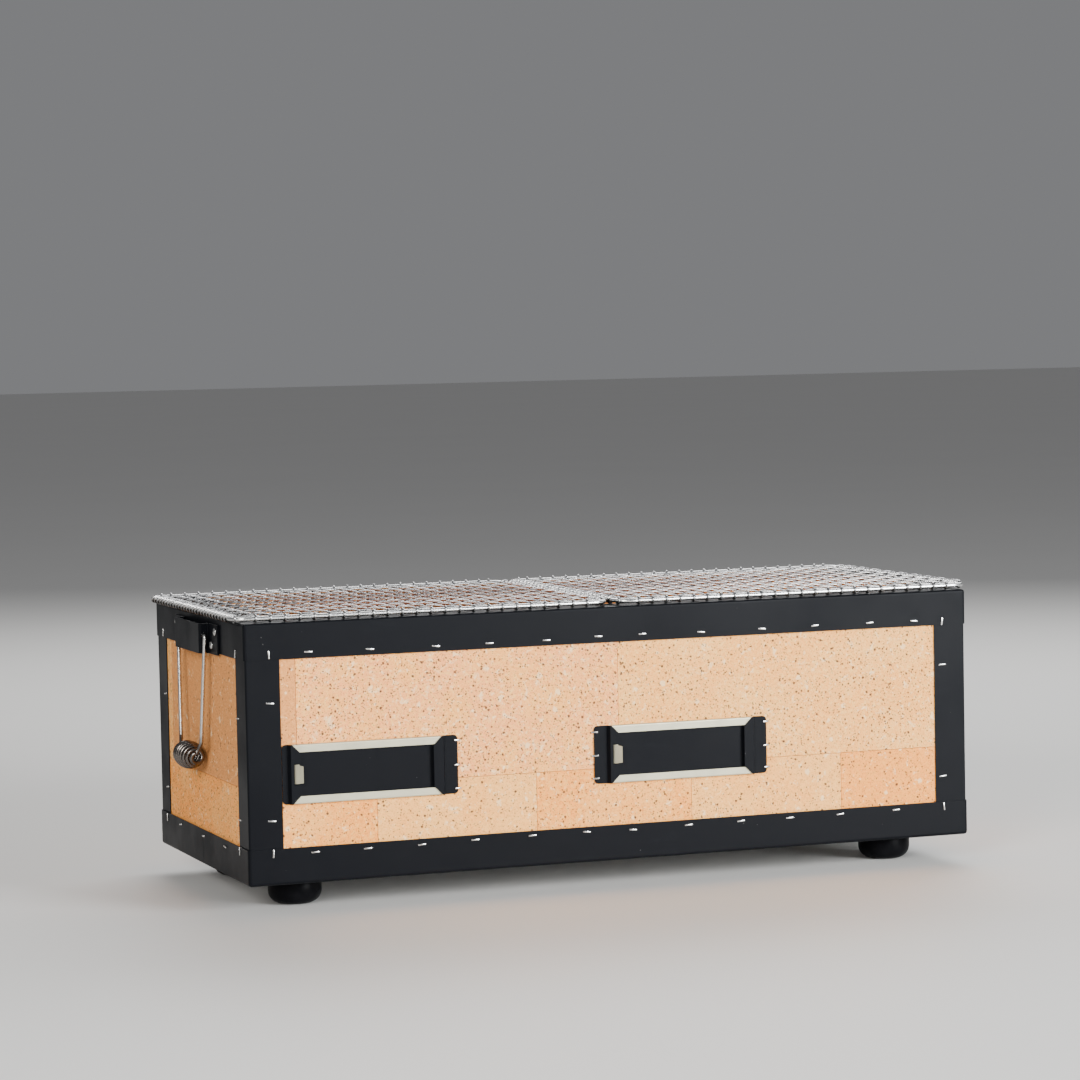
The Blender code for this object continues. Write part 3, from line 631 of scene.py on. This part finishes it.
class HIBACHI_OT_nets(bpy.types.Operator):
    """Bend each net's rim, weave its spirals and bind its sides"""

    bl_idname = "hibachi.nets"
    bl_label = "Weave the nets"

    def execute(self, context):
        settings = context.scene.hibachi_nets
        metal = context.scene.hibachi_metal
        middle = CASE_HIGH.z + settings.rim_radius + 2 * settings.weave_radius
        # painted shade darkens the rim and weave wires below these heights
        shine = middle + RIM_SHINE
        rim_steel = steel_finish(metal, "rim_steel", steel=metal.rim, painted_shade_below=shine)
        shine = middle + WEAVE_SHINE
        weave_steel = steel_finish(metal, "weave_steel", steel=metal.weave, painted_shade_below=shine)
        for word in ("left", "right"):
            low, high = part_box(f"net_{word}_rim")
            cad_radius = (high.z - low.z) / 2
            centre = (low + high) / 2
            half_x = (high.x - low.x) / 2 - cad_radius
            half_y = (high.y - low.y) / 2 - cad_radius
            centre.z = middle + NET_GAP
            outline = ((-half_x, 0), (-half_x, -half_y), (half_x, -half_y), (half_x, half_y))
            outline += ((-half_x, half_y), (-half_x, 0))
            rim = rounded([(x, y, 0) for x, y in outline], [NET_CORNER] * 4, steps=10)[:-1]
            rim = [p + centre for p in rim]
            mesh = wire_mesh([rim], settings.rim_radius, extra_sides=5, closed=True)
            name = f"net_{word}_rim_wire"
            placed(name, mesh, rim_steel, f"{word}_net", [f"net_{word}_rim"])
            paths = [
                [p + centre for p in spiral_path(i, settings, half_x, half_y)]
                for i in range(settings.spirals)
            ]
            for side in (-1, 1):
                coil = binding_path(side, settings, half_x, half_y)
                paths.append([p + centre for p in coil])
            mesh = wire_mesh(paths, settings.weave_radius, extra_sides=1)
            name = f"net_{word}_weave"
            placed(name, mesh, weave_steel, f"{word}_net", [f"net_{word}_mesh"])
        return {"FINISHED"}


# --- Handles and rivets ------------------------------------------------------------


def handle_path(node, pivot):
    """A handle's wire, as places out from, across and up from its pivot: a hook, a leg,
    the coil grip, and the same again mirrored."""
    low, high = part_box(node)
    leg = (high.y - low.y) / 2 - HANDLE_WIRE
    hook = 26.1 * MM
    drop = 83 * MM
    mid_radius = 8.2 * MM
    end_radius = 3 * MM
    grip_half = 21.5 * MM
    toe_in = 8.2 * MM
    foot = 10.5 * MM
    bends = (2 * MM, 6 * MM)
    turns = 10
    out = max(abs(low.x), abs(high.x)) - HANDLE_WIRE - mid_radius - abs(pivot.x)
    down = (
        (0, -hook, 0),
        (0, -leg, 0),
        (out / 2, -leg + toe_in, foot - drop),
        (out, -grip_half, end_radius - drop),
    )
    lead_in = rounded(down, bends, steps=8)[:-1]
    coil = []
    per_turn = 28
    count = turns * per_turn
    for i in range(count + 1):
        share = 2 * i / count - 1
        radius = end_radius + (mid_radius - end_radius) * (1 - share**2)
        angle = 2 * math.pi * i / per_turn
        up = radius * math.cos(angle) - drop
        coil.append(Vector((out + radius * math.sin(angle), share * grip_half, up)))
    mirrored = [Vector((p.x, -p.y, p.z)) for p in reversed(lead_in)]
    return lead_in + coil + mirrored


class HIBACHI_OT_handles(bpy.types.Operator):
    """Bend both wire handles and wind their coil grips"""

    bl_idname = "hibachi.handles"
    bl_label = "Bend the handles"

    def execute(self, context):
        metal = context.scene.hibachi_metal
        steel = steel_finish(metal, "handle_steel", browned_below=BROWNED_BELOW)
        for word, side in (("left", -1), ("right", 1)):
            pivot = Vector(JOINTS[f"{word}_handle_pivot"]["pos_m"])
            path = handle_path(f"handle_{word}", pivot)
            path = [pivot + Vector((side * p.x, p.y, p.z)) for p in path]
            mesh = wire_mesh([path], HANDLE_WIRE, extra_sides=5)
            name = f"handle_{word}_wire"
            placed(name, mesh, steel, f"{word}_handle", [f"handle_{word}"])
        return {"FINISHED"}


class HIBACHI_OT_rivets(bpy.types.Operator):
    """Set the domed rivets that hold the handle brackets"""

    bl_idname = "hibachi.rivets"
    bl_label = "Set the rivets"

    def execute(self, context):
        steel = steel_finish(context.scene.hibachi_metal, "rivet_steel")
        for word, side in (("left", -1), ("right", 1)):
            bm = bmesh.new()
            nodes = [f"rivet_{word}_{number}" for number in range(1, 5)]
            turn = Matrix.Rotation(side * math.pi / 2, 3, "Y")
            for node in nodes:
                low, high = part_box(node)
                radius = (high.y - low.y) / 2
                tip = low.x if side < 0 else high.x
                tail = abs(high.x - low.x)
                head = 1.1 * MM
                turns = [math.radians(a) for a in range(0, 91, 10)]
                dome = [(radius * math.sin(a), head * math.cos(a)) for a in turns]
                shank = radius * 0.57
                profile = dome + [(shank, 0), (shank, head - tail), (0, head - tail)]
                where = Vector((tip - side * head, (low.y + high.y) / 2, (low.z + high.z) / 2))
                spun(bm, profile, where, 28, turn)
            placed(f"bracket_rivets_{word}", finished(bm), steel, "grill_body", nodes)
        return {"FINISHED"}


# --- Feet and staples --------------------------------------------------------------


class HIBACHI_OT_feet(bpy.types.Operator):
    """Turn the round rubber feet"""

    bl_idname = "hibachi.feet"
    bl_label = "Turn the feet"

    def execute(self, context):
        rubber = rubber_finish(context.scene.hibachi_metal)
        edge, soft = 9 * MM, 0.6 * MM
        well, bore, web = 6.5 * MM, 2.4 * MM, 5 * MM
        for word in ("left_front", "left_back", "right_front", "right_back"):
            low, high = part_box(f"foot_{word}")
            radius, tall = (high.x - low.x) / 2, high.z - low.z
            turns = [math.radians(a) for a in range(0, 91, 9)]
            profile = [(bore, tall), (radius - soft, tall), (radius, tall - soft)]
            profile += [
                (radius - edge + edge * math.cos(a), edge * (1 - math.sin(a))) for a in turns
            ]
            profile += [(well + soft, 0), (well, soft), (well, tall - web), (bore, tall - web)]
            profile.append((bore, tall))
            bm = bmesh.new()
            middle = (low + high) / 2
            spun(bm, profile, Vector((middle.x, middle.y, low.z)), 56)
            name = f"foot_{word}_turned"
            placed(name, finished(bm), rubber, "grill_body", [f"foot_{word}"])
        return {"FINISHED"}


def staple(bm, where, normal, along, length, settings, dice, tilt=0.0):
    """Adds one crown lying on a face: along is its length's direction."""
    normal, along = Vector(normal), Vector(along)
    across = normal.cross(along)
    made = bmesh.ops.create_cube(bm, size=1)["verts"]
    bmesh.ops.scale(bm, verts=made, vec=(length, settings.width, settings.height))
    edges = list({e for v in made for e in v.link_edges})
    made = bmesh.ops.bevel(
        bm,
        geom=edges,
        offset=0.36 * settings.height,
        offset_type="OFFSET",
        segments=2,
        profile=0.5,
        affect="EDGES",
        material=-1,
    )["verts"]
    askew = Matrix.Rotation(math.radians(dice.uniform(-7, 7)), 3, "Z")
    turn = Matrix((along, across, normal)).transposed() @ Matrix.Rotation(tilt, 3, "Y") @ askew
    bmesh.ops.rotate(bm, verts=made, cent=(0, 0, 0), matrix=turn)
    seat = Vector(where) + normal * (settings.height * 0.42)
    slip = along * dice.uniform(-0.5, 0.5) * MM + across * dice.uniform(-0.5, 0.5) * MM
    bmesh.ops.translate(bm, verts=made, vec=seat + slip)


def long_side_staples(bm, settings, dice, front):
    """The staples of the front or the back."""
    face = CASE_LOW.y if front else CASE_HIGH.y
    flip = 1 if front else -1
    normal = (0, -flip, 0)
    word = "front" if front else "back"
    low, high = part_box(f"corner_post_{word}_left")
    under = low.y if front else high.y
    start = CASE_LOW.x if front else CASE_HIGH.x
    size = settings.length
    for row, height in zip((TOP_ROW, BOTTOM_ROW), ROW_HEIGHTS):
        for place in row:
            x = start + flip * place * MM
            z = CASE_LOW.z + height * MM
            staple(bm, (x, face, z), normal, (1, 0, 0), size, settings, dice)
    for place in CORNER_PLACES:
        x = start + flip * place * MM
        for height in CORNER_HEIGHTS:
            z = CASE_LOW.z + height * MM
            staple(bm, (x, face, z), normal, (0, 0, 1), size, settings, dice)
        for height in POST_HEIGHTS:
            z = CASE_LOW.z + height * MM
            staple(bm, (x, under, z), normal, (1, 0, 0), size, settings, dice)


def end_staples(bm, settings, dice, side):
    """The staples of one end."""
    face = CASE_LOW.x if side < 0 else CASE_HIGH.x
    low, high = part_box(f"corner_post_front_{'left' if side < 0 else 'right'}")
    under = low.x if side < 0 else high.x
    depth = CASE_HIGH.y - CASE_LOW.y
    size = settings.length
    for across in (END_CORNER_IN * MM, depth - END_CORNER_IN * MM):
        y = CASE_LOW.y + across
        for height in END_CORNER_HEIGHTS:
            z = CASE_LOW.z + height * MM
            staple(bm, (face, y, z), (side, 0, 0), (0, 0, 1), size, settings, dice)
        for height in END_POST_HEIGHTS:
            z = CASE_LOW.z + height * MM
            staple(bm, (under, y, z), (side, 0, 0), (0, 1, 0), size, settings, dice)
    for place in END_ROW:
        where = (face, CASE_LOW.y + place * MM, CASE_LOW.z + END_ROW_HEIGHT * MM)
        staple(bm, where, (side, 0, 0), (0, 1, 0), size, settings, dice)


def vent_staples(bm, settings, dice, word):
    """The staples across the outer edges of a vent's stop plates."""
    for end, side in (("left", -1), ("right", 1)):
        if (word, end) == ("left", "left"):
            continue  # that flange ends against the corner post
        low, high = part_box(f"vent_{word}_{end}_stop")
        edge = low.x if side < 0 else high.x
        middle = (low.z + high.z) / 2
        for height in VENT_STAPLES:
            where = (edge - side * 0.4 * MM, FLANGE_FACE, middle + height * MM)
            size = VENT_STAPLE_LENGTH * MM
            staple(bm, where, (0, -1, 0), (1, 0, 0), size, settings, dice, side * 0.2)


class HIBACHI_OT_staples(bpy.types.Operator):
    """Drive the staples of the casing and the vents"""

    bl_idname = "hibachi.staples"
    bl_label = "Drive the staples"

    def execute(self, context):
        settings = context.scene.hibachi_staples
        dice = random.Random(settings.seed)
        steel = steel_finish(context.scene.hibachi_metal, "staple_steel")
        groups = {
            "staples_front": lambda bm: long_side_staples(bm, settings, dice, True),
            "staples_back": lambda bm: long_side_staples(bm, settings, dice, False),
            "staples_left_end": lambda bm: end_staples(bm, settings, dice, -1),
            "staples_right_end": lambda bm: end_staples(bm, settings, dice, 1),
            "staples_left_vent": lambda bm: vent_staples(bm, settings, dice, "left"),
            "staples_right_vent": lambda bm: vent_staples(bm, settings, dice, "right"),
        }
        for name, drive in groups.items():
            bm = bmesh.new()
            drive(bm)
            placed(name, finished(bm), steel, "grill_body")
        return {"FINISHED"}


# --- Stage -------------------------------------------------------------------------


def area_light(name, where, aim, size, power, colour):
    light = bpy.data.lights.new(name, "AREA")
    light.shape = "RECTANGLE"
    light.size, light.size_y = size
    light.energy = power
    light.color = colour
    obj = bpy.data.objects.new(name, light)
    obj.location = where
    obj.rotation_euler = (Vector(aim) - Vector(where)).to_track_quat("-Z", "Y").to_euler()
    bpy.context.scene.collection.objects.link(obj)


class HIBACHI_OT_stage(bpy.types.Operator):
    """Lay the floor, hang the lights and set the camera"""

    bl_idname = "hibachi.stage"
    bl_label = "Set the stage"

    def execute(self, context):
        settings = context.scene.hibachi_stage
        bm = bmesh.new()
        bmesh.ops.create_grid(bm, x_segments=4, y_segments=4, size=20)
        mesh = bpy.data.meshes.new("floor")
        bm.to_mesh(mesh)
        bm.free()
        floor = bpy.data.objects.new("floor", mesh)
        bpy.context.scene.collection.objects.link(floor)
        made = Finish("pale_floor", settings.floor, 0.6)
        cloud = made.noise(made.here, 0.5, 3)
        darker = [c * 0.96 for c in settings.floor]
        made.colour(made.blend(cloud, settings.floor, darker))
        give(made.material, floor)

        world = bpy.data.worlds.new("studio")
        world.use_nodes = True
        sky = world.node_tree.nodes["Background"]
        sky.inputs["Color"].default_value = (*settings.sky, 1)
        sky.inputs["Strength"].default_value = settings.sky_power
        context.scene.world = world
        for name, where, aim, size, colour in LIGHTS:
            power = getattr(settings, f"{name}_power")
            area_light(name, where, aim, size, power, colour)

        camera = bpy.data.cameras.new("camera")
        camera.sensor_width = 36
        camera.lens = LENS
        camera.clip_start, camera.clip_end = 0.05, 100
        seat = bpy.data.objects.new("camera", camera)
        back = RIGHTWARD.cross(UPWARD).normalized()
        up = back.cross(RIGHTWARD).normalized()
        turn = Matrix((RIGHTWARD.normalized(), up, back)).transposed().to_4x4()
        seat.matrix_world = Matrix.Translation(SEAT) @ turn
        context.scene.collection.objects.link(seat)
        context.scene.camera = seat
        return {"FINISHED"}


# --- Panel and registration --------------------------------------------------------

SETTINGS = {
    "hibachi_bricks": HIBACHI_PG_bricks,
    "hibachi_metal": HIBACHI_PG_metal,
    "hibachi_nets": HIBACHI_PG_nets,
    "hibachi_staples": HIBACHI_PG_staples,
    "hibachi_stage": HIBACHI_PG_stage,
}
OPERATORS = (
    HIBACHI_OT_bricks,
    HIBACHI_OT_sheet_metal,
    HIBACHI_OT_nets,
    HIBACHI_OT_handles,
    HIBACHI_OT_rivets,
    HIBACHI_OT_feet,
    HIBACHI_OT_staples,
    HIBACHI_OT_stage,
)


class HIBACHI_PT_panel(bpy.types.Panel):
    """Lists the grill's settings and operators"""

    bl_idname = "HIBACHI_PT_panel"
    bl_label = "Hibachi grill"
    bl_space_type = "VIEW_3D"
    bl_region_type = "UI"
    bl_category = "Hibachi"

    def draw(self, context):
        for name, group in SETTINGS.items():
            box = self.layout.box()
            for setting in group.__annotations__:
                box.prop(getattr(context.scene, name), setting)
        for operator in OPERATORS:
            self.layout.operator(operator.bl_idname)


def register():
    for name, group in SETTINGS.items():
        bpy.utils.register_class(group)
        setattr(bpy.types.Scene, name, PointerProperty(type=group))
    for operator in OPERATORS:
        bpy.utils.register_class(operator)
    bpy.utils.register_class(HIBACHI_PT_panel)


def unregister():
    bpy.utils.unregister_class(HIBACHI_PT_panel)
    for operator in reversed(OPERATORS):
        bpy.utils.unregister_class(operator)
    for name, group in SETTINGS.items():
        delattr(bpy.types.Scene, name)
        bpy.utils.unregister_class(group)


def main():
    register()
    bpy.ops.hibachi.bricks()
    bpy.ops.hibachi.sheet_metal()
    bpy.ops.hibachi.nets()
    bpy.ops.hibachi.handles()
    bpy.ops.hibachi.rivets()
    bpy.ops.hibachi.feet()
    bpy.ops.hibachi.staples()
    bpy.ops.hibachi.stage()


if __name__ == "__main__":
    main()
